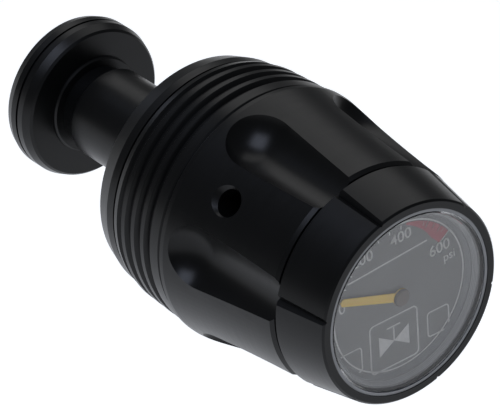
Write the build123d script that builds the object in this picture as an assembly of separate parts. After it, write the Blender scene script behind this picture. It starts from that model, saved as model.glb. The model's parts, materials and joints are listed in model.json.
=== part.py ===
from build123d import *
import math
import os

# Carbon dioxide regulator with a front pressure gauge and a rear adjusting knob.
# Nearly every piece is turned about one axis. A station is a distance along that
# axis, counted from the knob's rear face towards the gauge. Radii and stations are
# in millimetres. Work is done with the axis as Z, seen from the gauge end with X to
# the right and Y up, and placed last: the gauge then faces -Y and up is +Z.

# --- Driving dimensions: outside ---------------------------------------------
knob_radius = 14.45
knob_edge_step = 0.55
knob_width = 7.0
knob_crest_width = 3.1
knob_corner = 0.4
knob_groove_width = 0.5
knob_groove_depth = 0.35
knob_hub_length = 0.6
knob_hub_chamfer = 0.3
knob_recess_radius = 4.4
knob_recess_depth = 3.0
stem_radius = 8.4
stem_undercut_depth = 1.1
stem_undercut_length = 3.2
exposed_neck = 28.7

bonnet_length = 19.5
bonnet_rear_step = 2.7
bonnet_taper_length = 3.5
bonnet_taper_rise = 1.0
bonnet_collar_length = 1.7
bonnet_collar_groove_width = 0.6
bonnet_collar_groove_depth = 0.35
bonnet_ring_step = 1.2
bonnet_collar_step = 1.5
ridge_count = 3
ridge_pitch = 2.8
ridge_step = 0.8
ridge_growth = 0.15
ridge_land = 1.2
ridge_groove_depth = 0.9
ridge_corner = 0.15
ridge_floor_share = 0.5
band_length = 2.6
band_step = 0.4

body_length = 27.2
body_rim_length = 2.0
shoulder_length = 1.6
body_bow = 0.25
body_taper = 2.95
edge_chamfer = 0.35
shoulder_chamfer = 0.7
body_rim_chamfer_length = 0.7
body_rim_chamfer_depth = 0.5
flute_count = 6
flute_radius = 6.9
flute_offset = 5.2
flute_end_gap = 2.2
flute_angle = 112.0

case_taper = 1.7
case_rim_width = 1.6
case_joint_step = 0.3
case_joint_gap = 0.3
case_floor_depth = 2.4
spigot_wall = 2.8
notch_depth = 0.75
notch_half_width = 0.8
notch_angle = 110.5

# --- Driving dimensions: ports -----------------------------------------------
outlet_radius = 2.5
outlet_wall_gap = 0.15
inlet_lands_round = 2
inlet_radius = 3.5
inlet_depth_radius = 10.0
port_chamfer = 0.45
chamfer_overrun = 0.8
chamfer_lead = 0.2
filter_radius = 2.9
filter_length = 1.6
feed_radius = 1.5

# --- Driving dimensions: pressure spring, piston and valve --------------------
bonnet_wall = 5.8
spring_room_step = 0.6
skirt_wall = 4.6
skirt_length = 4.4
stem_reach = 1.9
stop_ring_rise = 1.4
stop_ring_width = 1.0
stop_ring_depth = 0.8
stop_ring_setback = 0.5
stop_ring_split = 1.5
ball_radius = 2.0
ball_gap = 1.2
follower_gap = 0.4
follower_width = 2.4
spring_boss_height = 1.4
spring_boss_gap = 0.75
main_spring_inset = 2.2
main_wire_radius = 0.85
main_spring_turns = 4
piston_radius = 13.0
piston_width = 3.6
piston_travel = 0.8
piston_stem_radius = 1.6
piston_seal_depth = 1.7
piston_seal_width = 1.8
seat_ledge_step = 1.3
seat_ledge_width = 0.7
seat_radius = 4.5
seat_width = 2.0
seat_lip_radius = 2.0
seat_lip_height = 0.3
seat_orifice_radius = 1.3
seat_seal_width = 0.9
seat_seal_depth = 0.6
valve_room_length = 5.2
poppet_gap = 1.1
poppet_pad_width = 0.6
poppet_pad_step = 0.5
poppet_width = 1.6
poppet_stem_radius = 0.8
poppet_boss_height = 0.8
poppet_spring_inset = 1.0
poppet_boss_inset = 0.7
poppet_wire_radius = 0.3
poppet_spring_turns = 4

# --- Driving dimensions: gauge ------------------------------------------------
window_radius = 17.15
gasket_thickness = 0.3
gasket_edge_gap = 0.5
socket_wall = 0.9
socket_length = 3.05
socket_flange_step = 2.0
socket_flange_width = 1.2
socket_passage_radius = 0.4
socket_seal_width = 1.2
socket_seal_depth = 0.9
socket_seal_setback = 0.7
socket_arm_width = 5.0
foot_width = 5.2
foot_depth = 2.8
foot_inset = 2.4
case_room_step = 0.75
movement_to_dial_gap = 0.4
dial_to_window_depth = 3.4
dial_step = 2.7
surround_lip_step = 1.05
surround_lip_width = 0.45
surround_rim_width = 0.6
surround_mouth_step = 1.1
surround_slope = 0.95
surround_slope_rise = 0.3
surround_step_height = 0.7
dial_thickness = 0.4
dial_hole_radius = 1.2
lens_thickness = 1.4
lens_recess = 0.15
lens_seal_thickness = 0.25
lens_seal_width = 0.4
lens_chamfer = 0.25
tube_inset = 3.9
tube_width = 1.6
tube_wall = 0.3
tube_start_angle = -94.0
tube_sweep = 281.0
tube_seat_ahead = 3.0
tube_seat_sweep = 12.0
tube_end_gap = 0.2
section_clearance = 0.01
tip_sweep = 9.0
tip_width = 2.4
tip_height = 1.8
tip_pin_inset = 0.2
tip_pin_angle = -20.0
plate_inset = 1.9
plate_thickness = 0.6
plate_gap = 3.0
pillar_radius = 0.9
pillar_inset = 1.4
pillar_angles = (150.0, 30.0, 215.0)
screw_radius = 0.55
screw_head_radius = 1.1
screw_head_height = 0.4
screw_slot_width = 0.3
pinion_teeth = 10
sector_teeth_round = 50
sector_teeth_cut = 8
sector_direction = -70.0
sector_reach_gap = 1.6
sector_thickness = 0.8
sector_rim_width = 1.2
sector_hub_radius = 1.6
sector_arm_width = 1.2
sector_edge_angle = 2.0
pinion_length = 1.8
pinion_lead = 0.5
tail_direction = -10.0
tail_share = 2 / 3
tail_width = 1.4
tooth_share_tip = 2 / 3
tooth_share_root = 4 / 3
tooth_share_addendum = 0.8
tooth_share_dedendum = 1.2
tooth_crown = 0.1
tooth_crown_swell = 0.03
tooth_crown_inset = 0.04
wedge_steps = 4
arbor_radius = 0.45
link_thickness = 0.5
link_width = 1.3
link_end_radius = 1.05
link_pin_radius = 0.4
pin_overrun = 0.1
open_pivot_clearance = 0.16
hairspring_turns = 3
hairspring_inner_radius = 0.62
hairspring_pitch = 0.7
hairspring_strip = 0.14
hairspring_height = 0.5
hairspring_lift = 0.2
pointer_reach_gap = 0.8
pointer_point = 0.5
pointer_hub_end_width = 1.7
pointer_tip_width = 1.4
pointer_thickness = 0.25
pointer_height_above_dial = 0.35
pointer_rest_angle = 164.0
pointer_hub_radius = 1.6
pointer_hub_height = 0.5
pointer_hub_corner = 0.2

# --- Driving dimensions: fits --------------------------------------------------
running_clearance = 0.05
assembly_clearance = 0.03
face_clearance = 0.05
overcut = 1.0
knob_screw_radius = 2.5
knob_screw_head_radius = 4.0
knob_screw_head_height = 2.4
knob_screw_length = 9.0
knob_screw_end_gap = 0.5
hex_socket_radius = 1.7
hex_socket_depth = 1.4

# --- Sizes that follow ----------------------------------------------------------
knob_edge_radius = knob_radius - knob_edge_step
knob_hub_radius = stem_radius + knob_hub_length
stem_undercut_radius = stem_radius - stem_undercut_depth
stop_ring_radius = stem_radius + stop_ring_rise
spring_room_radius = piston_radius - spring_room_step
skirt_radius = spring_room_radius + skirt_wall
follower_radius = spring_room_radius - follower_gap
main_spring_radius = spring_room_radius - main_spring_inset
spring_boss_radius = main_spring_radius - main_wire_radius - spring_boss_gap
seat_ledge_radius = seat_radius - seat_ledge_step
poppet_radius = seat_radius - poppet_gap
poppet_pad_radius = poppet_radius - poppet_pad_step
poppet_spring_radius = poppet_radius - poppet_spring_inset
poppet_boss_radius = poppet_spring_radius - poppet_boss_inset
socket_radius = seat_radius + socket_wall
socket_flange_radius = socket_radius + socket_flange_step
gasket_inner_radius = socket_radius + socket_flange_step / 2
case_room_radius = window_radius - case_room_step
case_front_radius = window_radius + case_rim_width
case_rear_radius = case_front_radius + case_taper
body_front_radius = case_rear_radius + case_joint_step
shoulder_radius = body_front_radius + body_taper
bonnet_rear_radius = shoulder_radius - bonnet_rear_step
bonnet_collar_radius = bonnet_rear_radius + bonnet_taper_rise
spigot_radius = body_front_radius - spigot_wall
gasket_outer_radius = spigot_radius - gasket_edge_gap
flute_axis_radius = body_front_radius + flute_offset
surround_radius = window_radius - assembly_clearance
surround_mouth_radius = window_radius - surround_mouth_step
lens_radius = surround_radius - surround_rim_width
dial_radius = window_radius - dial_step
surround_lip_radius = dial_radius - surround_lip_step
surround_step_radius = dial_radius + surround_slope
foot_outer_radius = case_room_radius - foot_inset
foot_inner_radius = foot_outer_radius - foot_depth
tube_radius = case_room_radius - tube_inset
tip_pin_radius = tube_radius - tip_pin_inset
plate_radius = tube_radius - plate_inset
pillar_circle_radius = plate_radius - pillar_inset
sector_distance = plate_radius - sector_reach_gap
gear_module = 2 * sector_distance / (pinion_teeth + sector_teeth_round)
tooth_addendum = tooth_share_addendum * gear_module
tooth_dedendum = tooth_share_dedendum * gear_module
tube_height = 2 * plate_thickness + plate_gap - tube_end_gap
pointer_length = dial_radius - pointer_reach_gap

# --- Stations, in order from the knob to the gauge ----------------------------
knob_front = knob_width
bonnet_rear = knob_front + exposed_neck
spring_room_start = bonnet_rear + bonnet_wall
body_rear = bonnet_rear + bonnet_length
skirt_front = body_rear + skirt_length
body_front = body_rear + body_length
body_seat = body_front - body_rim_length
socket_rear = body_seat - socket_length
seat_front = socket_rear - valve_room_length
seat_rear = seat_front - seat_width
poppet_rear = seat_front + seat_lip_height + face_clearance
cylinder_start = skirt_front + face_clearance
cylinder_end = seat_rear - seat_ledge_width
piston_front = skirt_front + piston_width
case_rear = body_seat + gasket_thickness
case_shoulder = body_front + case_joint_gap
case_floor = case_rear + case_floor_depth
flange_front = case_floor + socket_flange_width
rear_plate_front = flange_front + plate_thickness
front_plate_rear = rear_plate_front + plate_gap
front_plate_front = front_plate_rear + plate_thickness
ledge_station = front_plate_front + movement_to_dial_gap
dial_rear = ledge_station + surround_lip_width
dial_front = dial_rear + dial_thickness
lens_front = dial_front + dial_to_window_depth
overall_length = lens_front + lens_recess
lens_rear = lens_front - lens_thickness
lens_seal_rear = lens_rear - lens_seal_thickness
outlet_station = cylinder_end - outlet_radius - outlet_wall_gap
inlet_station = (poppet_rear + socket_rear) / 2
stem_front = spring_room_start + stem_reach
stop_ring_rear = spring_room_start + stop_ring_setback
follower_rear = stem_front + ball_gap
follower_front = follower_rear + follower_width
ball_station = (stem_front + follower_rear) / 2
flute_centre_station = body_rear + flute_end_gap + flute_radius
sector_rear = rear_plate_front + plate_gap / 2
sector_front = sector_rear + sector_thickness
pinion_rear = sector_rear - pinion_lead
link_rear = sector_front + face_clearance
link_front = link_rear + link_thickness

# --- Angles and pivots in the gauge, seen from the front ----------------------
land_angle = flute_angle + 180.0 / flute_count
inlet_angle = land_angle + inlet_lands_round * 360.0 / flute_count
pinion_pitch_radius = gear_module * pinion_teeth / 2
sector_pitch_radius = gear_module * sector_teeth_round / 2
tail_length = tail_share * sector_pitch_radius


def polar(radius, degrees):
    """A point at this radius and angle about the axis."""
    return (radius * math.cos(math.radians(degrees)), radius * math.sin(math.radians(degrees)))


def moved(point, length, degrees):
    """A point this far from another, in this direction."""
    step = polar(length, degrees)
    return (point[0] + step[0], point[1] + step[1])


sector_pivot = polar(sector_distance, sector_direction)
tail_pivot = moved(sector_pivot, tail_length, tail_direction)
tip_pivot = polar(tip_pin_radius, tip_pin_angle)


# --- Shapes that repeat --------------------------------------------------------
def turned(outline):
    """A solid turned from (station, radius) points, closed along the axis."""
    points = [(0, outline[0][0])] + [(radius, station) for station, radius in outline]
    points.append((0, outline[-1][0]))
    return revolve(Plane.XZ * make_face(Polyline(*points, close=True)), Axis.Z, 360)


def rod(radius, start, end, centre=(0, 0)):
    """A plain round bar between two stations."""
    low_end = (Align.CENTER, Align.CENTER, Align.MIN)
    return Pos(centre[0], centre[1], start) * Cylinder(radius, end - start, align=low_end)


def ring(outer, inner, start, end, centre=(0, 0)):
    """A plain washer or sleeve between two stations."""
    return rod(outer, start, end, centre) - rod(inner, start, end, centre)


def radial_rod(radius, inner_end, outer_end, station, degrees):
    """A round bar that points away from the axis."""
    low_end = (Align.CENTER, Align.CENTER, Align.MIN)
    bar = Cylinder(radius, outer_end - inner_end, align=low_end)
    return Rot(0, 0, degrees) * Pos(inner_end, 0, station) * Rot(0, 90, 0) * bar


def radial_cone(small, large, inner_end, outer_end, station, degrees):
    """A cone that opens away from the axis, for a port's chamfer."""
    low_end = (Align.CENTER, Align.CENTER, Align.MIN)
    cone = Cone(small, large, outer_end - inner_end, align=low_end)
    return Rot(0, 0, degrees) * Pos(inner_end, 0, station) * Rot(0, 90, 0) * cone


def o_ring(groove_radius, depth, start, width):
    """A rubber ring that fills its groove, with its outer corners taken off."""
    outer = groove_radius + depth
    outline = [(start, outer - depth / 3), (start + width / 4, outer), (start + width * 3 / 4, outer),
               (start + width, outer - depth / 3)]
    return turned(outline) - rod(groove_radius, start, start + width)


def coil(radius, wire, start, end, turns):
    """A round wire spring that just clears the faces it stands between."""
    height = end - start - 2 * (wire + face_clearance)
    path = Pos(0, 0, start + wire + face_clearance) * Helix(height / turns, height, radius)
    section = Plane(origin=path @ 0, z_dir=path % 0) * Circle(wire)
    return sweep(section, path=path)


def bar_between(start_point, end_point, width, start, end):
    """A straight flat bar from one point to another, between two stations."""
    span = math.dist(start_point, end_point)
    angle = math.degrees(math.atan2(end_point[1] - start_point[1], end_point[0] - start_point[0]))
    low_end = (Align.MIN, Align.CENTER, Align.MIN)
    return Pos(start_point[0], start_point[1], start) * Rot(0, 0, angle) * Box(
        span, width, end - start, align=low_end)


# --- Knob and adjuster ---------------------------------------------------------
def knob_disc():
    """The finger disc, grooved round its rim, with a hub on its inner face."""
    crest_rear = (knob_width - knob_crest_width) / 2
    groove_rear = (knob_width - knob_groove_width) / 2
    groove_radius = knob_radius - knob_groove_depth
    disc = turned([
        (0, knob_edge_radius - knob_corner), (knob_corner, knob_edge_radius),
        (crest_rear, knob_radius), (groove_rear, knob_radius), (groove_rear, groove_radius),
        (knob_width - groove_rear, groove_radius), (knob_width - groove_rear, knob_radius),
        (knob_width - crest_rear, knob_radius), (knob_width - knob_corner, knob_edge_radius),
        (knob_width, knob_edge_radius - knob_corner)])
    hub_front = knob_front + knob_hub_length
    hub = turned([(knob_front, knob_hub_radius), (hub_front - knob_hub_chamfer, knob_hub_radius),
                  (hub_front, knob_hub_radius - knob_hub_chamfer)])
    recess = rod(knob_recess_radius, 0, knob_recess_depth)
    screw_way = rod(knob_screw_radius + assembly_clearance, 0, hub_front)
    return disc + hub - recess - screw_way


def adjuster_stem():
    """The long neck: undercut behind the knob, grooved for its stop ring, cupped for the ball."""
    rear = knob_front + knob_hub_length
    undercut = rear + stem_undercut_length
    ring_front = stop_ring_rear + stop_ring_width
    stem = turned([
        (rear, stem_undercut_radius), (undercut, stem_undercut_radius),
        (undercut + edge_chamfer, stem_radius - edge_chamfer / 2), (undercut + 2 * edge_chamfer, stem_radius),
        (stop_ring_rear, stem_radius), (stop_ring_rear, stem_radius - stop_ring_depth),
        (ring_front, stem_radius - stop_ring_depth), (ring_front, stem_radius),
        (stem_front, stem_radius)])
    cup = Pos(0, 0, ball_station) * Sphere(ball_radius + running_clearance)
    thread = rod(knob_screw_radius + assembly_clearance, rear, knob_recess_depth + knob_screw_length)
    return stem - cup - thread


def knob_screw():
    """The screw that clamps the disc to the stem, with a hexagon socket."""
    head_rear = knob_recess_depth - knob_screw_head_height
    shank_front = knob_recess_depth + knob_screw_length - knob_screw_end_gap
    shank = rod(knob_screw_radius, knob_recess_depth, shank_front)
    head = rod(knob_screw_head_radius, head_rear, knob_recess_depth)
    key = Pos(0, 0, head_rear) * extrude(RegularPolygon(hex_socket_radius, 6), hex_socket_depth)
    return head + shank - key


def stop_ring():
    """The split ring that keeps the stem from leaving the bonnet."""
    front = stop_ring_rear + stop_ring_width
    inner = stem_radius - stop_ring_depth + assembly_clearance
    whole = ring(stop_ring_radius, inner, stop_ring_rear + assembly_clearance, front - assembly_clearance)
    split = bar_between((0, 0), (0, stop_ring_radius + overcut), stop_ring_split, stop_ring_rear, front)
    return whole - split


def thrust_ball():
    """The ball that lets the stem turn on the follower."""
    return Pos(0, 0, ball_station) * Sphere(ball_radius)


def spring_follower():
    """The washer that carries the pressure spring, cupped for the ball."""
    plate = rod(follower_radius, follower_rear, follower_front)
    boss = rod(spring_boss_radius, follower_front, follower_front + spring_boss_height)
    cup = Pos(0, 0, ball_station) * Sphere(ball_radius + running_clearance)
    return plate + boss - cup


def main_spring():
    """The pressure spring between the follower and the piston."""
    return coil(main_spring_radius, main_wire_radius, follower_front, skirt_front, main_spring_turns)


# --- Bonnet --------------------------------------------------------------------
def ridge_groove(station, width, crest):
    """The outline of one groove, up to the corner of the crest in front of it."""
    slope = width * (1 - ridge_floor_share) / 2
    floor_radius = crest - ridge_groove_depth
    return [(station + slope, floor_radius), (station + width - slope, floor_radius),
            (station + width, crest - ridge_corner), (station + width + ridge_corner, crest)]


def bonnet():
    """The ridged rear cap, with a threaded way for the stem and a skirt that screws into the body."""
    taper_end = bonnet_rear + bonnet_taper_length
    collar_end = taper_end + bonnet_collar_length
    collar_groove_end = collar_end + bonnet_collar_groove_width
    collar_groove_radius = bonnet_collar_radius - bonnet_collar_groove_depth
    groove_width = ridge_pitch - ridge_land
    station = body_rear - band_length - groove_width - ridge_count * ridge_pitch
    outline = [
        (bonnet_rear, bonnet_rear_radius - edge_chamfer), (bonnet_rear + edge_chamfer, bonnet_rear_radius),
        (taper_end, bonnet_collar_radius), (collar_end, bonnet_collar_radius),
        (collar_end, collar_groove_radius), (collar_groove_end, collar_groove_radius),
        (collar_groove_end, shoulder_radius - bonnet_collar_step),
        (station, shoulder_radius - bonnet_ring_step)]
    for number in range(ridge_count):
        crest = shoulder_radius - ridge_step + number * ridge_growth
        outline += ridge_groove(station, groove_width, crest)
        station += ridge_pitch
        outline += [(station - ridge_corner, crest), (station, crest - ridge_corner)]
    band_radius = shoulder_radius - band_step
    outline += ridge_groove(station, groove_width, band_radius)
    outline += [(body_rear - edge_chamfer, band_radius), (body_rear, band_radius - edge_chamfer)]
    skirt = rod(skirt_radius, body_rear, skirt_front)
    spring_room = rod(spring_room_radius, spring_room_start, skirt_front)
    stem_way = rod(stem_radius + running_clearance, bonnet_rear, spring_room_start)
    return turned(outline) + skirt - spring_room - stem_way


# --- Body ----------------------------------------------------------------------
def body_outline_radius(station):
    """Radius of the body's lands at a station: a slightly bowed taper."""
    start = body_rear + shoulder_length
    share = (station - start) / (body_front - start)
    straight = shoulder_radius + (body_front_radius - shoulder_radius) * share
    return straight - 4 * body_bow * share * (1 - share)


def flute():
    """The ball-ended cutter path of one flute, open at the body's front."""
    x, y = polar(flute_axis_radius, 0)
    ball = Pos(x, y, flute_centre_station) * Sphere(flute_radius)
    return ball + rod(flute_radius, flute_centre_station, body_front + overcut, (x, y))


def main_body():
    """The fluted body: spring and piston bore, valve chamber, inlet and outlet ports."""
    shoulder_end = body_rear + shoulder_length
    middle = (shoulder_end + body_front) / 2
    lands_front = body_front - body_rim_chamfer_length
    taper = make_face(
        Polyline((0, body_front), (0, body_rear), (shoulder_radius - shoulder_chamfer, body_rear),
                 (shoulder_radius, body_rear + shoulder_chamfer), (shoulder_radius, shoulder_end))
        + ThreePointArc((shoulder_radius, shoulder_end), (body_outline_radius(middle), middle),
                        (body_front_radius, lands_front))
        + Polyline((body_front_radius, lands_front), (body_front_radius - body_rim_chamfer_depth, body_front),
                   (0, body_front)))
    solid = revolve(Plane.XZ * taper, Axis.Z, 360)
    cutter = flute()
    for number in range(flute_count):
        solid -= Rot(0, 0, flute_angle + number * 360 / flute_count) * cutter
    solid -= rod(skirt_radius + assembly_clearance, body_rear, cylinder_start)
    solid -= rod(piston_radius + running_clearance, cylinder_start, cylinder_end)
    solid -= rod(seat_ledge_radius, cylinder_end, seat_rear)
    solid -= rod(seat_radius + assembly_clearance, seat_rear, socket_rear)
    solid -= rod(socket_radius + assembly_clearance, socket_rear, body_seat)
    solid -= rod(spigot_radius + assembly_clearance, body_seat, body_front)
    return solid - outlet_port() - inlet_port()


def port_mouth(radius, station, degrees):
    """The chamfer where a port of this radius meets the outside of the body."""
    surface = body_outline_radius(station)
    return radial_cone(radius - chamfer_lead, radius + port_chamfer + chamfer_overrun,
                       surface - port_chamfer - chamfer_lead, surface + chamfer_overrun, station, degrees)


def outlet_port():
    """The threaded outlet on one land, from the cylinder to the outside, with a chamfered mouth."""
    hole = radial_rod(outlet_radius, piston_radius / 2, shoulder_radius + overcut, outlet_station, land_angle)
    return hole + port_mouth(outlet_radius, outlet_station, land_angle)


def inlet_port():
    """The threaded inlet on another land, its filter pocket and its feed to the valve."""
    hole = radial_rod(inlet_radius, inlet_depth_radius, shoulder_radius + overcut, inlet_station, inlet_angle)
    pocket = radial_rod(filter_radius + assembly_clearance, inlet_depth_radius - filter_length,
                        inlet_depth_radius, inlet_station, inlet_angle)
    feed = radial_rod(feed_radius, seat_radius / 2, inlet_depth_radius, inlet_station, inlet_angle)
    return hole + port_mouth(inlet_radius, inlet_station, inlet_angle) + pocket + feed


def inlet_filter():
    """The sintered disc at the bottom of the inlet port."""
    return radial_rod(filter_radius, inlet_depth_radius - filter_length + face_clearance, inlet_depth_radius,
                      inlet_station, inlet_angle)


# --- Piston and valve ----------------------------------------------------------
def piston():
    """The piston: sealed head, spring boss and the pin that opens the valve."""
    seal_start = skirt_front + (piston_width - piston_seal_width) / 2
    head = rod(piston_radius, skirt_front + face_clearance, piston_front)
    seal_end = seal_start + piston_seal_width
    groove = ring(piston_radius + overcut, piston_radius - piston_seal_depth, seal_start, seal_end)
    boss = rod(spring_boss_radius, skirt_front - spring_boss_height, skirt_front + face_clearance)
    pin = rod(piston_stem_radius, piston_front, cylinder_end - piston_travel)
    return head - groove + boss + pin


def piston_seal():
    """The O-ring in the piston's groove."""
    seal_start = skirt_front + (piston_width - piston_seal_width) / 2
    groove_radius = piston_radius - piston_seal_depth
    return o_ring(groove_radius, piston_seal_depth + running_clearance / 2, seal_start, piston_seal_width)


def valve_seat():
    """The seat insert, with a raised lip round its orifice and a groove for its seal."""
    body = rod(seat_radius, seat_rear, seat_front)
    lip = rod(seat_lip_radius, seat_front, seat_front + seat_lip_height)
    groove_start = seat_rear + (seat_width - seat_seal_width) / 2
    groove_end = groove_start + seat_seal_width
    groove = ring(seat_radius + overcut, seat_radius - seat_seal_depth, groove_start, groove_end)
    return body + lip - groove - rod(seat_orifice_radius, seat_rear, seat_front + seat_lip_height)


def seat_seal():
    """The O-ring round the seat insert."""
    groove_start = seat_rear + (seat_width - seat_seal_width) / 2
    groove_radius = seat_radius - seat_seal_depth
    return o_ring(groove_radius, seat_seal_depth, groove_start, seat_seal_width)


def poppet():
    """The valve head, with a stem through the orifice and a boss inside its spring."""
    pad_front = poppet_rear + poppet_pad_width
    front = poppet_rear + poppet_width
    head = rod(poppet_radius, poppet_rear, front) - rod(poppet_pad_radius, poppet_rear, pad_front)
    stem = rod(poppet_stem_radius, cylinder_end - piston_travel + face_clearance, pad_front)
    return head + stem + rod(poppet_boss_radius, front, front + poppet_boss_height)


def poppet_pad():
    """The soft pad that closes on the seat's lip."""
    pad_front = poppet_rear + poppet_pad_width
    return ring(poppet_pad_radius, poppet_stem_radius, poppet_rear, pad_front)


def poppet_spring():
    """The light spring that closes the valve."""
    return coil(poppet_spring_radius, poppet_wire_radius, poppet_rear + poppet_width, socket_rear,
                poppet_spring_turns)


# --- Gauge: case, window and dial ------------------------------------------------
def case_gasket():
    """The flat gasket between the body and the gauge case."""
    return ring(gasket_outer_radius, gasket_inner_radius, body_seat, case_rear)


def gauge_case():
    """The tapered nose that holds the gauge, with a spigot that sits in the body's rim."""
    shell = turned([
        (case_rear, spigot_radius), (case_shoulder, spigot_radius),
        (case_shoulder, case_rear_radius - edge_chamfer), (case_shoulder + edge_chamfer, case_rear_radius),
        (overall_length - edge_chamfer, case_front_radius),
        (overall_length, case_front_radius - edge_chamfer)])
    shell -= rod(case_room_radius, case_floor, ledge_station)
    shell -= rod(window_radius, ledge_station, overall_length)
    shell -= rod(socket_radius + assembly_clearance, case_rear, case_floor)
    for number in range(flute_count):
        shell -= Rot(0, 0, notch_angle + number * 360 / flute_count) * notch()
    return shell


def notch():
    """One V groove down the side of the case, following its taper."""
    widening = notch_half_width * (notch_depth + overcut) / notch_depth

    def cut_at(station, radius):
        corners = [(radius + overcut, -widening), (radius - notch_depth, 0), (radius + overcut, widening)]
        return Pos(0, 0, station) * make_face(Polyline(*corners, close=True))

    rear = cut_at(case_shoulder - overcut, case_rear_radius)
    front = cut_at(overall_length + overcut, case_front_radius)
    return loft([rear, front])


def dial_surround():
    """The stepped ring that carries the dial, slopes up to the window and stands round it."""
    blank = rod(surround_radius, ledge_station, lens_front)
    cup = rod(dial_radius + assembly_clearance, dial_rear, dial_front)
    step_station = dial_front + surround_step_height
    mouth = turned([(dial_front, dial_radius + assembly_clearance),
                    (step_station, surround_step_radius - surround_slope_rise),
                    (step_station, surround_step_radius), (lens_seal_rear, surround_mouth_radius)])
    window_seat = rod(lens_radius + assembly_clearance, lens_seal_rear, lens_front)
    return blank - cup - mouth - window_seat - rod(surround_lip_radius, ledge_station, dial_rear)


def dial_plate():
    """The thin printed plate behind the pointer."""
    return ring(dial_radius, dial_hole_radius, dial_rear, dial_front)


def lens_seal():
    """The flat ring under the window."""
    return ring(lens_radius, lens_radius - lens_seal_width, lens_seal_rear, lens_rear)


def lens():
    """The clear window, set just below the rim."""
    return turned([(lens_rear, lens_radius), (lens_front - lens_chamfer, lens_radius),
                   (lens_front, lens_radius - lens_chamfer)])


# --- Gauge: pressure side ----------------------------------------------------------
def gauge_socket():
    """The brass fitting that bolts the gauge to the body and feeds the pressure tube."""
    shank = rod(socket_radius, socket_rear + face_clearance, case_floor)
    flange = rod(socket_flange_radius, case_floor, flange_front)
    arm = bar_between((0, 0), (0, -foot_outer_radius), socket_arm_width, case_floor, flange_front)
    foot = bar_between((0, -foot_inner_radius), (0, -foot_outer_radius), foot_width, case_floor,
                       flange_front + tube_height)
    seal_start = socket_rear + socket_seal_setback
    seal_end = seal_start + socket_seal_width
    groove = ring(socket_radius + overcut, socket_radius - socket_seal_depth, seal_start, seal_end)
    mid_flange = case_floor + socket_flange_width / 2
    passage = rod(socket_passage_radius, socket_rear, mid_flange)
    cross = bar_between((0, 0), (0, -tube_radius), 2 * socket_passage_radius,
                        mid_flange - socket_passage_radius, mid_flange + socket_passage_radius)
    rise = rod(socket_passage_radius, mid_flange, flange_front + tube_height / 2, (0, -tube_radius))
    tube_seat = Rot(0, 0, tube_start_angle + tube_seat_ahead) * tube_section_arc(tube_seat_sweep, 0)
    return shank + flange + arm + foot - groove - passage - cross - rise - tube_seat


def socket_seal():
    """The O-ring on the gauge socket's shank."""
    groove_radius = socket_radius - socket_seal_depth
    return o_ring(groove_radius, socket_seal_depth, socket_rear + socket_seal_setback, socket_seal_width)


def tube_section_arc(sweep_degrees, wall):
    """A stretch of flattened tube, bent about the gauge's axis and ending at angle zero."""
    middle = flange_front + tube_height / 2
    section = RectangleRounded(tube_width, tube_height, tube_width / 2 - section_clearance)
    if wall:
        section -= RectangleRounded(tube_width - 2 * wall, tube_height - 2 * wall,
                                    tube_width / 2 - wall - section_clearance)
    placed = Plane.XZ * Pos(tube_radius, middle) * section
    return Rot(0, 0, -sweep_degrees) * revolve(placed, Axis.Z, sweep_degrees)


def bourdon_tube():
    """The curved, flattened tube that straightens a little as the pressure rises."""
    return Rot(0, 0, tube_start_angle) * tube_section_arc(tube_sweep, tube_wall)


def bourdon_tip():
    """The end block of the pressure tube, with the pin that drives the link."""
    end_angle = tube_start_angle - tube_sweep
    section = Pos(tube_radius, flange_front + tube_height / 2) * Rectangle(tip_width, tip_height)
    block = Rot(0, 0, end_angle - tip_sweep) * revolve(Plane.XZ * section, Axis.Z, tip_sweep - face_clearance)
    pin = rod(link_pin_radius, flange_front + tube_height / 2, link_front + pin_overrun, tip_pivot)
    return block + pin


# --- Gauge: movement -----------------------------------------------------------------
def movement_plate(start, end):
    """One of the two plates, drilled for its arbors, pillars and screws."""
    plate = rod(plate_radius, start, end)
    plate -= rod(arbor_radius + running_clearance, start, end)
    plate -= rod(arbor_radius + running_clearance, start, end, sector_pivot)
    for angle in pillar_angles:
        plate -= rod(screw_radius + assembly_clearance, start, end, polar(pillar_circle_radius, angle))
    return plate


def movement_rear_plate():
    """The plate that lies on the socket's flange."""
    return movement_plate(flange_front, rear_plate_front)


def movement_front_plate():
    """The plate behind the dial."""
    return movement_plate(front_plate_rear, front_plate_front)


def movement_pillars():
    """The three spacers between the plates."""
    posts = [ring(pillar_radius, screw_radius + assembly_clearance, rear_plate_front, front_plate_rear,
                  polar(pillar_circle_radius, angle)) for angle in pillar_angles]
    return Compound(children=posts)


def movement_screws():
    """The three screws through the plates and pillars."""
    screws = []
    for angle in pillar_angles:
        place = polar(pillar_circle_radius, angle)
        shank = rod(screw_radius, flange_front + plate_thickness / 4, front_plate_front, place)
        head = rod(screw_head_radius, front_plate_front, front_plate_front + screw_head_height, place)
        slot = Pos(place[0], place[1], front_plate_front + screw_head_height) * Box(
            2 * screw_head_radius, screw_slot_width, screw_head_height)
        screws.append(shank + head - slot)
    return Compound(children=screws)


def tooth(pitch_radius):
    """One gear tooth on the X axis, slimmer than its gap so that the mesh runs free."""
    root = pitch_radius - tooth_dedendum - tooth_crown
    tip = pitch_radius + tooth_addendum
    half_root = tooth_share_root * gear_module / 2
    half_tip = tooth_share_tip * gear_module / 2
    half_crown = half_tip - tooth_crown_inset
    half_below = half_tip + tooth_crown_swell
    return make_face(Polyline(
        (root, -half_root), (tip - tooth_crown, -half_below), (tip, -half_crown),
        (tip, half_crown), (tip - tooth_crown, half_below), (root, half_root), close=True))


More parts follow.
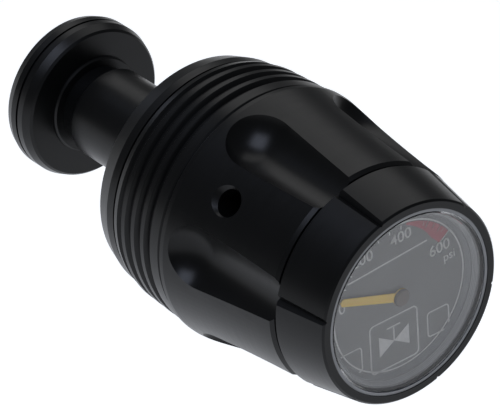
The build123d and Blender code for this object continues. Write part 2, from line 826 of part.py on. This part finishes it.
def pinion():
    """The small gear and the arbor that carries the pointer."""
    rim = pinion_pitch_radius - tooth_dedendum
    face = Circle(rim)
    for number in range(pinion_teeth):
        face += Rot(0, 0, sector_direction + number * 360 / pinion_teeth) * tooth(pinion_pitch_radius)
    gear = Pos(0, 0, pinion_rear) * extrude(face, pinion_length)
    arbor_front = dial_front + pointer_height_above_dial + pointer_thickness + pointer_hub_height / 2
    arbor = rod(arbor_radius, flange_front + plate_thickness / 4, arbor_front)
    return gear + arbor


def sector_gear():
    """The toothed sector, its hub and the tail that the link pulls."""
    toward_pinion = sector_direction + 180
    tooth_step = 360 / sector_teeth_round
    last = toward_pinion + tooth_step * 1.5
    first = last - tooth_step * (sector_teeth_cut - 1)
    rim_outer = sector_pitch_radius - tooth_dedendum
    rim = Circle(rim_outer) - Circle(rim_outer - sector_rim_width)
    start = first - sector_edge_angle
    span = last - first + 2 * sector_edge_angle
    wedge_points = [(0, 0)] + [polar(2 * rim_outer, start + span * step / wedge_steps)
                               for step in range(wedge_steps + 1)]
    wedge = make_face(Polyline(*wedge_points, close=True))
    face = rim & wedge
    for number in range(sector_teeth_cut):
        face += Rot(0, 0, first + number * tooth_step) * tooth(sector_pitch_radius)
    gear = Pos(0, 0, sector_rear) * extrude(face, sector_thickness)
    for angle in (first, last):
        gear += bar_between((0, 0), polar(rim_outer - sector_rim_width / 2, angle), sector_arm_width,
                            sector_rear, sector_front)
    gear += bar_between((0, 0), polar(tail_length, tail_direction), tail_width, sector_rear, sector_front)
    gear += rod(tail_width / 2, sector_rear, sector_front, polar(tail_length, tail_direction))
    gear += rod(sector_hub_radius, sector_rear, sector_front)
    gear = Pos(sector_pivot[0], sector_pivot[1], 0) * gear
    return gear - rod(arbor_radius, sector_rear, sector_front, sector_pivot)


def sector_arbor():
    """The sector's own arbor."""
    return rod(arbor_radius, flange_front + plate_thickness / 4, front_plate_front, sector_pivot)


def tail_pin():
    """The pin on the sector's tail."""
    return rod(link_pin_radius, sector_front, link_front + pin_overrun, tail_pivot)


def link():
    """The flat link between the tube's tip and the sector's tail."""
    strip = bar_between(tail_pivot, tip_pivot, link_width, link_rear, link_front)
    for pivot, clearance in ((tail_pivot, running_clearance), (tip_pivot, open_pivot_clearance)):
        strip += rod(link_end_radius, link_rear, link_front, pivot)
        strip -= rod(link_pin_radius + clearance, link_rear, link_front, pivot)
    return strip


def hairspring():
    """The flat spiral that takes up the play in the gears, made of half turns."""
    low = rear_plate_front + hairspring_lift
    face = None
    for half in range(2 * hairspring_turns):
        side = 1 if half % 2 == 0 else -1
        radius = hairspring_inner_radius + hairspring_pitch * half / 2 + hairspring_pitch / 4
        centre = -side * hairspring_pitch / 4
        band = Circle(radius + hairspring_strip / 2) - Circle(radius - hairspring_strip / 2)
        keep = Pos(0, side * radius) * Rectangle(4 * radius, 2 * radius)
        piece = Pos(centre, 0) * (band & keep)
        face = piece if face is None else face + piece
    return Pos(0, 0, low) * extrude(face, hairspring_height)


def pointer():
    """The needle: a blade that narrows to a blunt tip, on a round hub."""
    start = dial_front + pointer_height_above_dial
    point_start = pointer_length - pointer_point
    outline = [(0, -pointer_hub_end_width / 2), (point_start, -pointer_tip_width / 2), (pointer_length, 0),
               (point_start, pointer_tip_width / 2), (0, pointer_hub_end_width / 2)]
    needle = Pos(0, 0, start) * extrude(make_face(Polyline(*outline, close=True)), pointer_thickness)
    needle += rod(pointer_hub_radius, start, start + pointer_thickness)
    return Rot(0, 0, pointer_rest_angle) * needle - rod(arbor_radius, start, start + pointer_thickness)


def pointer_hub():
    """The cap that presses the needle onto its arbor."""
    start = dial_front + pointer_height_above_dial + pointer_thickness
    front = start + pointer_hub_height
    cap = turned([(start, pointer_hub_radius), (front - pointer_hub_corner, pointer_hub_radius),
                  (front, pointer_hub_radius - pointer_hub_corner)])
    return cap - rod(arbor_radius, start, start + pointer_hub_height / 2)


# --- Placing and writing --------------------------------------------------------------
pieces = [
    knob_disc, knob_screw, adjuster_stem, stop_ring, thrust_ball, spring_follower, main_spring,
    bonnet, main_body, inlet_filter, piston, piston_seal, valve_seat, seat_seal, poppet, poppet_pad,
    poppet_spring, case_gasket, gauge_case, dial_surround, dial_plate, lens_seal, lens,
    gauge_socket, socket_seal, bourdon_tube, bourdon_tip, movement_rear_plate, movement_front_plate,
    movement_pillars, movement_screws, pinion, sector_gear, sector_arbor, tail_pin, link, hairspring,
    pointer, pointer_hub]

os.makedirs("parts", exist_ok=True)
placing = Pos(0, overall_length / 2, 0) * Rot(90, 0, 0)
for make in pieces:
    export_step(placing * make(), f"parts/{make.__name__}.step")
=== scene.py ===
import json
import math

import bmesh
import bpy
from mathutils import Matrix, Vector


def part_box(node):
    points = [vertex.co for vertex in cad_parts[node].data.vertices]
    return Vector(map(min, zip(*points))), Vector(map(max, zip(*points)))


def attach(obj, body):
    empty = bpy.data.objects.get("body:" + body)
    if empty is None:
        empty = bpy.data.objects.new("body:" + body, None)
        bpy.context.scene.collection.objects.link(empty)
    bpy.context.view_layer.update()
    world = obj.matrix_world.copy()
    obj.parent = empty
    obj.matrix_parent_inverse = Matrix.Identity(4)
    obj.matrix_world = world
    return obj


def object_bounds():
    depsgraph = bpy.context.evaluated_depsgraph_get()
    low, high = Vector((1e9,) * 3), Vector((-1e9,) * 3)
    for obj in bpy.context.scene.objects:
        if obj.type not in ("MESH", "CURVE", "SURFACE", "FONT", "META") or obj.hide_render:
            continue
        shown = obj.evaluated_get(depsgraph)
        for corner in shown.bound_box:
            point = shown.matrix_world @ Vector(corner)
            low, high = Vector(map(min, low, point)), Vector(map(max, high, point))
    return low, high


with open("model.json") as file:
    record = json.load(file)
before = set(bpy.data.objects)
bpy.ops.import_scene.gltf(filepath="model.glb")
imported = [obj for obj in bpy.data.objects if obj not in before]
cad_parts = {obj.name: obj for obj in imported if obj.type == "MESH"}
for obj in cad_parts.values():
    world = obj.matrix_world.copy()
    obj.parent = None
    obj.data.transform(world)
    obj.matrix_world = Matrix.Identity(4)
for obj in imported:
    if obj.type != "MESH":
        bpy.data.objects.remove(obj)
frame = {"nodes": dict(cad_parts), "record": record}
cad_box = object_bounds()
nodes = frame["nodes"]
MM = 0.001


# ---- Camera: a long lens, above and to the left of the gauge ----------------------
def add_camera():
    """Looks down the regulator from the gauge end, level with the floor."""
    right = Vector((0.7794, -0.6264, 0.0))
    up = Vector((0.3188, 0.3968, 0.8607))
    rim_centre = Vector((0, cad_box[0][1], 0))
    stand_off = Vector((-0.55383, -0.64665, 0.52170))
    lens = bpy.data.cameras.new("camera")
    lens.lens, lens.sensor_width, lens.clip_start = 432.0, 36.0, 0.05
    camera = bpy.data.objects.new("camera", lens)
    axes = Matrix((right, up, right.cross(up))).transposed().to_4x4()
    camera.matrix_world = Matrix.Translation(rim_centre + stand_off) @ axes
    bpy.context.scene.collection.objects.link(camera)
    bpy.context.scene.camera = camera


add_camera()


# ---- Places along the axis, from the frame ----------------------------------------
dial_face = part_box("dial_plate")[0].y
dial_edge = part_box("dial_plate")[1].x
window_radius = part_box("dial_surround")[1].x
window_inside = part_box("lens_seal")[1].y
# the surround's slope, as (radius, height above the dial)
wall_foot = (dial_edge + 0.90 * MM, 0.75 * MM)
wall_top = (dial_edge + 1.44 * MM, dial_face - window_inside - 0.12 * MM)


# ---- Materials ----------------------------------------------------------------------
def linear(hex_colour):
    """An sRGB hex colour as the linear RGBA that a shader takes."""
    channels = [int(hex_colour[i:i + 2], 16) / 255 for i in (1, 3, 5)]
    return [c / 12.92 if c <= 0.04045 else ((c + 0.055) / 1.055) ** 2.4 for c in channels] + [1.0]


def add_node(tree, kind, links=(), **settings):
    """Adds one node with its properties, its socket values and its incoming links."""
    node = tree.nodes.new(kind)
    for name, value in settings.items():
        if name in node.inputs:
            node.inputs[name].default_value = value
        elif hasattr(node, name):
            setattr(node, name, value)
        else:
            node.inputs[name.replace("_", " ")].default_value = value
    for socket, source in links:
        tree.links.new(source, node.inputs[socket])
    return node


def finish_material(name, colour, **settings):
    """A Principled material, with its tree, shader node and Object coordinates."""
    material = bpy.data.materials.new(name)
    material.use_nodes = True
    tree = material.node_tree
    shader = tree.nodes["Principled BSDF"]
    shader.inputs["Base Color"].default_value = linear(colour)
    for socket, value in settings.items():
        shader.inputs[socket.replace("_", " ")].default_value = value
    place = add_node(tree, "ShaderNodeTexCoord").outputs["Object"]
    return material, tree, shader, place


def noise(tree, place, size_mm, detail=3.0, rough=0.5, stretch=(1, 1, 1)):
    """Noise whose features are about this many millimetres across."""
    turn = add_node(tree, "ShaderNodeMapping", [("Vector", place)], Scale=stretch)
    return add_node(tree, "ShaderNodeTexNoise", [("Vector", turn.outputs["Vector"])],
                    Scale=1 / (size_mm * MM), Detail=detail, Roughness=rough).outputs["Fac"]


def spread(tree, value, low, high, start=0.3, end=0.7):
    """Maps the middle of a pattern onto a range of values."""
    return add_node(tree, "ShaderNodeMapRange", [("Value", value)], **{
        "From Min": start, "From Max": end, "To Min": low, "To Max": high}).outputs["Result"]


def mixed(tree, factor, first, second):
    """Two hex colours mixed by a pattern."""
    blend = add_node(tree, "ShaderNodeMixRGB", [("Fac", factor)],
                     Color1=linear(first), Color2=linear(second))
    return blend.outputs["Color"]


def bump(tree, shader, height, depth_mm):
    """Lets a pattern raise the surface by a depth in millimetres."""
    node = add_node(tree, "ShaderNodeBump", [("Height", height)], Distance=depth_mm * MM, Strength=1.0)
    tree.links.new(node.outputs["Normal"], shader.inputs["Normal"])


def black_anodised_aluminium():
    """Turned, fine blasted and dyed black: a deep satin black with a soft grey sheen."""
    material, tree, shader, place = finish_material(
        "black_anodised_aluminium", "#060708", Roughness=0.31, IOR=1.45, Specular_IOR_Level=0.25)
    cloud = noise(tree, place, 9.0)
    tree.links.new(mixed(tree, cloud, "#050606", "#0a0a0b"), shader.inputs["Base Color"])
    turning = noise(tree, place, 0.9, detail=2.0, stretch=(0.15, 2.5, 0.15))
    tree.links.new(spread(tree, turning, 0.29, 0.34), shader.inputs["Roughness"])
    # blasted grain is about 0.05 mm; drawn at 0.25 mm so that it shows
    bump(tree, shader, noise(tree, place, 0.25, detail=4.0), 0.004)
    return material


def turned_metal(name, light, dark, roughness):
    """Bare turned metal with fine tool marks around the axis."""
    material, tree, shader, place = finish_material(name, light, Metallic=1.0, Roughness=roughness)
    marks = noise(tree, place, 0.35, stretch=(0.2, 3.0, 0.2))
    tree.links.new(mixed(tree, marks, light, dark), shader.inputs["Base Color"])
    tree.links.new(spread(tree, marks, roughness - 0.06, roughness + 0.08), shader.inputs["Roughness"])
    bump(tree, shader, marks, 0.003)
    return material


def sintered_bronze():
    """Pressed bronze beads about 0.2 mm across, fused together: dull, open and grainy."""
    material, tree, shader, place = finish_material("sintered_bronze", "#8a6238", Metallic=1.0, Roughness=0.6)
    beads = add_node(tree, "ShaderNodeTexVoronoi", [("Vector", place)],
                     Scale=1 / (0.2 * MM)).outputs["Distance"]
    tree.links.new(mixed(tree, beads, "#9c7244", "#4a3118"), shader.inputs["Base Color"])
    bump(tree, shader, beads, 0.05)
    return material


def moulded_rubber(name, dark, light):
    """Moulded nitrile or silicone: matt, with a faint mould texture."""
    material, tree, shader, place = finish_material(name, dark, Roughness=0.72, IOR=1.5)
    grain = noise(tree, place, 0.3, detail=5.0)
    tree.links.new(mixed(tree, grain, dark, light), shader.inputs["Base Color"])
    bump(tree, shader, grain, 0.006)
    return material


def dial_enamel():
    """Matt grey stove enamel on thin aluminium, very slightly cloudy."""
    material, tree, shader, place = finish_material("dial_enamel", "#696a69", Roughness=0.55, IOR=1.5)
    tree.links.new(mixed(tree, noise(tree, place, 3.5), "#626362", "#707070"), shader.inputs["Base Color"])
    bump(tree, shader, noise(tree, place, 0.2), 0.002)
    return material


def printing_ink(name, colour, faded):
    """Screen-printed ink: matt, a little uneven in cover."""
    material, tree, shader, place = finish_material(name, colour, Roughness=0.6, IOR=1.5)
    cover = noise(tree, place, 0.8, detail=5.0)
    tree.links.new(mixed(tree, cover, faded, colour), shader.inputs["Base Color"])
    return material


def yellow_enamel():
    """The needle's glossy yellow enamel."""
    material, tree, shader, place = finish_material("yellow_enamel", "#f0c400", Roughness=0.35, IOR=1.5)
    tree.links.new(mixed(tree, noise(tree, place, 1.5), "#e4b400", "#f4d020"), shader.inputs["Base Color"])
    return material


def brown_enamel():
    """The needle's hub cap: dull dark brown enamel with a slight orange cast."""
    material, tree, shader, place = finish_material("brown_enamel", "#4a3d31", Roughness=0.5, IOR=1.5)
    tree.links.new(mixed(tree, noise(tree, place, 0.6), "#403830", "#5a4636"), shader.inputs["Base Color"])
    return material


def moulded_grey_polycarbonate(name, dark, light):
    """The dial surround: moulded grey plastic with a satin face."""
    material, tree, shader, place = finish_material(name, dark, Roughness=0.38, IOR=1.58)
    # mould turning lines, 0.3 mm apart, run round the ring
    lines = noise(tree, place, 0.3, stretch=(0.1, 1.5, 0.1))
    tree.links.new(mixed(tree, lines, dark, light), shader.inputs["Base Color"])
    bump(tree, shader, lines, 0.004)
    return material


def clear_acrylic():
    """The window: clear, smooth and nearly colourless, with a few faint polishing marks."""
    material, tree, shader, place = finish_material(
        "clear_acrylic", "#ffffff", Roughness=0.03, IOR=1.49, Transmission_Weight=1.0, Specular_IOR_Level=0.3)
    tree.links.new(spread(tree, noise(tree, place, 4.0), 0.02, 0.05), shader.inputs["Roughness"])
    return material


finishes = {
    "black_anodised": black_anodised_aluminium(),
    "steel": turned_metal("turned_steel", "#b4b4b2", "#8c8c8b", 0.28),
    "brass": turned_metal("turned_brass", "#c9a35c", "#a27d3c", 0.25),
    "rubber": moulded_rubber("nitrile_rubber", "#121212", "#1d1d1d"),
    "grey_silicone": moulded_rubber("grey_silicone", "#6a6b6c", "#777879"),
    "sintered_bronze": sintered_bronze(),
    "dial_paint": dial_enamel(),
    "surround_plastic": moulded_grey_polycarbonate("moulded_grey_polycarbonate", "#66686b", "#828385"),
    "window": clear_acrylic(),
    "pointer_paint": yellow_enamel(),
    "hub_enamel": brown_enamel(),
}
white_ink = printing_ink("white_ink", "#e2e2e0", "#bcbcba")
red_ink = printing_ink("red_ink", "#b4404e", "#a03a48")
# the surround steps' lighter grey is a painted highlight: the lit edges of the steps are drawn into the
# colour
step_highlight_grey = moulded_grey_polycarbonate("step_edges_painted_highlight", "#9a9c9e", "#b4b6b7")

slot_of = {part["node"]: part["material_slot"] for part in frame["record"]["subparts"]}
for name, piece in nodes.items():
    piece.data.materials.clear()
    piece.data.materials.append(finishes[slot_of[name]])


# ---- Making pieces --------------------------------------------------------------------
def piece_from(bm, name, material, body):
    """Turns a bmesh into a piece that rides on a body."""
    bmesh.ops.recalc_face_normals(bm, faces=bm.faces)
    mesh = bpy.data.meshes.new(name)
    bm.to_mesh(mesh)
    bm.free()
    mesh.materials.append(material)
    piece = bpy.data.objects.new(name, mesh)
    bpy.context.scene.collection.objects.link(piece)
    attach(piece, body)
    return piece


# ---- Dial print: everything lies just above the enamel --------------------------------
ink_thickness = 0.04 * MM
dial_tilt = 7.5
panel_tilt = 4.0
# the scale starts here and runs clockwise, in degrees
scale_zero = 158.0
scale_sweep = 131.0
scale_steps = 12


def on_dial(bm, tilt):
    """Moves work in X and Y, facing +Z, onto the dial, facing the window."""
    lay = Matrix.Translation((0, dial_face, 0)) @ Matrix.Rotation(math.radians(90), 4, "X")
    bmesh.ops.transform(bm, matrix=lay @ Matrix.Rotation(math.radians(tilt), 4, "Z"), verts=bm.verts)


def thicken(bm):
    """Gives flat work the thickness of its ink."""
    made = bmesh.ops.extrude_face_region(bm, geom=bm.faces[:])
    raised = [v for v in made["geom"] if isinstance(v, bmesh.types.BMVert)]
    bmesh.ops.translate(bm, verts=raised, vec=(0, 0, ink_thickness))


def printed(bm, name, ink=white_ink, tilt=dial_tilt):
    """Flat work becomes ink on the dial."""
    thicken(bm)
    on_dial(bm, tilt)
    return piece_from(bm, name, ink, "housing")


def printed_text(words, name, centre, height):
    """Dial lettering, made a mesh before it is placed."""
    curve = bpy.data.curves.new(name, "FONT")
    curve.body, curve.size = words, height / 0.7
    curve.align_x, curve.align_y = "CENTER", "CENTER"
    curve.offset = height * 0.012
    source = bpy.data.objects.new(name + "_source", curve)
    mesh = bpy.data.meshes.new_from_object(source)
    bpy.data.objects.remove(source)
    bm = bmesh.new()
    bm.from_mesh(mesh)
    bpy.data.meshes.remove(mesh)
    bmesh.ops.remove_doubles(bm, verts=bm.verts, dist=1e-6)
    bmesh.ops.translate(bm, verts=bm.verts, vec=(centre[0], centre[1], 0))
    return printed(bm, name)


def printed_line(bm, start, end, width):
    """One straight stroke between two points."""
    along = (Vector(end) - Vector(start)).normalized()
    side = Vector((-along.y, along.x)) * width / 2
    corners = [Vector(start) - side, Vector(end) - side, Vector(end) + side, Vector(start) + side]
    bm.faces.new([bm.verts.new((c.x, c.y, 0)) for c in corners])


def printed_ring(bm, centre, radius, width, start=0.0, sweep=360.0, steps=96):
    """An arc or a full ring of even width, spun from one stroke."""
    a, b = [bm.verts.new((centre[0] + math.cos(math.radians(start)) * r,
                          centre[1] + math.sin(math.radians(start)) * r, 0))
            for r in (radius - width / 2, radius + width / 2)]
    edge = bm.edges.new((a, b))
    bmesh.ops.spin(bm, geom=[a, b, edge], cent=(centre[0], centre[1], 0), axis=(0, 0, 1),
                   angle=math.radians(sweep), steps=steps, use_merge=sweep == 360.0)


def rounded_frame(bm, centre, width, height, corner, stroke):
    """The outline of a panel with rounded corners."""
    x, y, w, h = centre[0], centre[1], width / 2, height / 2
    for sx, sy, turn in ((1, 1, 0), (-1, 1, 90), (-1, -1, 180), (1, -1, 270)):
        middle = (x + sx * (w - corner), y + sy * (h - corner))
        printed_ring(bm, middle, corner, stroke, start=turn, sweep=90.0, steps=8)
    printed_line(bm, (x - w + corner, y + h), (x + w - corner, y + h), stroke)
    printed_line(bm, (x + w - corner, y - h), (x - w + corner, y - h), stroke)
    printed_line(bm, (x + w, y + h - corner), (x + w, y - h + corner), stroke)
    printed_line(bm, (x - w, y - h + corner), (x - w, y + h - corner), stroke)


def at(x, y):
    """A place on the dial, in shares of the window's radius."""
    return (x * window_radius, y * window_radius)


def heading(degrees):
    """A direction on the dial, as long as the window's radius."""
    angle = math.radians(degrees)
    return Vector((math.cos(angle), math.sin(angle))) * window_radius


def print_dial():
    """Numerals, border, rule, scale, panels and a plain valve symbol."""
    panel_centre = at(-0.087, -0.484)
    numerals = (("0", at(-0.70, 0.215)), ("200", at(-0.39, 0.64)),
                ("400", at(0.10, 0.655)), ("600", at(0.55, 0.285)))
    for words, centre in numerals:
        printed_text(words, "numeral_" + words, centre, 0.125 * window_radius)
    printed_text("psi", "unit_mark", at(0.66, 0.14), 0.10 * window_radius)

    bm = bmesh.new()
    printed_ring(bm, (0, 0), dial_edge - 0.45 * MM, 0.28 * MM)
    printed(bm, "dial_border")

    bm = bmesh.new()
    printed_line(bm, at(-0.60, 0.455), at(0.41, 0.455), 0.32 * MM)
    printed(bm, "dial_rule")

    bm = bmesh.new()
    for number in range(scale_steps + 1):
        if number % 4:
            tick = heading(scale_zero - number * scale_sweep / scale_steps)
            printed_line(bm, tick * 0.79, tick * 0.745, 0.18 * MM)
    printed(bm, "dial_ticks")

    bm = bmesh.new()
    rounded_frame(bm, panel_centre, 0.60 * window_radius, 0.56 * window_radius, 0.9 * MM, 0.3 * MM)
    printed(bm, "panel_frame", tilt=panel_tilt)

    bm = bmesh.new()
    for side in (-1, 1):
        rounded_frame(bm, at(0.555 * side - 0.08, -0.51), 0.27 * window_radius, 0.28 * window_radius,
                      0.6 * MM, 0.26 * MM)
    printed(bm, "side_frames", tilt=panel_tilt)

    bm = bmesh.new()
    cx, cy = panel_centre
    reach = 0.19 * window_radius
    for side in (-1, 1):
        bm.faces.new([bm.verts.new((cx, cy, 0)), bm.verts.new((cx + side * reach, cy + reach * 0.62, 0)),
                      bm.verts.new((cx + side * reach, cy - reach * 0.62, 0))])
    printed_line(bm, (cx, cy), (cx, cy + reach * 0.9), 0.3 * MM)
    printed_line(bm, (cx - reach * 0.45, cy + reach * 0.9), (cx + reach * 0.45, cy + reach * 0.9), 0.3 * MM)
    printed(bm, "valve_symbol", tilt=panel_tilt)


def spun_band(bm, start, end, inner, outer, steps=24):
    """A band between two (radius, height) edges, spun clockwise from one angle to another."""
    a, b = [bm.verts.new((radius, 0, height)) for radius, height in (outer, inner)]
    edge = bm.edges.new((a, b))
    bmesh.ops.rotate(bm, verts=bm.verts, cent=(0, 0, 0), matrix=Matrix.Rotation(math.radians(start), 3, "Z"))
    bmesh.ops.spin(bm, geom=[a, b, edge], cent=(0, 0, 0), axis=(0, 0, 1),
                   angle=math.radians(end - start), steps=steps)


def print_red_zone():
    """The warning band: it widens clockwise, ends on a white line and runs up the surround."""
    start, widest, end = 77.0, 44.5, 32.0
    outer = 0.80 * window_radius
    bm = bmesh.new()
    spun_band(bm, start, end, (outer * 0.98, 0), (outer, 0))
    for v in bm.verts:
        if v.co.length < outer * 0.99:
            angle = math.degrees(math.atan2(v.co.y, v.co.x))
            share = min(1.0, (start - angle) / (start - widest))
            v.co = v.co.normalized() * window_radius * (0.78 - 0.13 * share)
    printed(bm, "warning_band", red_ink)
    bm = bmesh.new()
    spun_band(bm, start - 6.0, end, wall_foot, wall_top)
    printed(bm, "warning_band_wall", red_ink)
    bm = bmesh.new()
    printed_line(bm, heading(end) * 0.82, heading(end) * 0.66, 0.3 * MM)
    for inward in (10.0, 24.0):
        tick = heading(end + inward)
        printed_line(bm, tick * 0.80, tick * 0.73, 0.2 * MM)
    printed(bm, "warning_lines")


def mould_steps():
    """Four fine steps moulded round the surround's slope, coloured a lighter grey than the surround as a
    painted highlight where they catch the light.
    """
    bm = bmesh.new()
    for share in (0.12, 0.38, 0.64, 0.88):
        radius, height = [low + (high - low) * share for low, high in zip(wall_foot, wall_top)]
        corners = [bm.verts.new((radius + x * MM, 0, height + z * MM))
                   for x, z in ((-0.14, 0.02), (0.06, -0.06), (-0.02, 0.12))]
        edges = [bm.edges.new((corners[i], corners[(i + 1) % 3])) for i in range(3)]
        bmesh.ops.spin(bm, geom=corners + edges, cent=(0, 0, 0), axis=(0, 0, 1),
                       angle=math.radians(360), steps=128, use_merge=True)
    on_dial(bm, 0.0)
    piece_from(bm, "surround_steps", step_highlight_grey, "housing")


print_dial()
print_red_zone()
mould_steps()


# ---- Floor and light --------------------------------------------------------------------
def add_floor():
    """A wide pale floor with a faint glow of its own, which reads as a white backdrop."""
    mesh = bpy.data.meshes.new("floor")
    bm = bmesh.new()
    bmesh.ops.create_grid(bm, x_segments=1, y_segments=1, size=3.0)
    bmesh.ops.translate(bm, verts=bm.verts, vec=(0, 0, -0.16))
    bm.to_mesh(mesh)
    bm.free()
    floor = bpy.data.objects.new("floor", mesh)
    bpy.context.scene.collection.objects.link(floor)
    material, tree, shader, place = finish_material("pale_floor", "#fbfbfa", Roughness=0.9)
    shader.inputs["Emission Color"].default_value = linear("#fffffc")
    shader.inputs["Emission Strength"].default_value = 0.47
    mesh.materials.append(material)


def add_light(name, place, size, watts, colour="#ffffff"):
    """A square softbox aimed at the regulator."""
    lamp = bpy.data.lights.new(name, "AREA")
    lamp.shape, lamp.size, lamp.energy, lamp.color = "SQUARE", size, watts, linear(colour)[:3]
    light = bpy.data.objects.new(name, lamp)
    light.location = place
    light.rotation_euler = (-Vector(place)).to_track_quat("-Z", "Y").to_euler()
    bpy.context.scene.collection.objects.link(light)


def add_world():
    """A dim, slightly cool surrounding light."""
    world = bpy.data.worlds.new("studio")
    bpy.context.scene.world = world
    world.use_nodes = True
    world.node_tree.nodes["Background"].inputs["Color"].default_value = linear("#f4f6fa")
    world.node_tree.nodes["Background"].inputs["Strength"].default_value = 0.14


add_floor()
add_world()
add_light("overhead_softbox", (0.7, 0.8, 1.3), 1.3, 6.0)
add_light("key_softbox", (-0.45, -0.2, 1.16), 0.9, 10.5, "#dfe8ff")
add_light("rear_softbox", (-0.1, 1.4, 0.75), 0.5, 1.2, "#dfe8ff")
bpy.context.scene.view_settings.view_transform = "Standard"
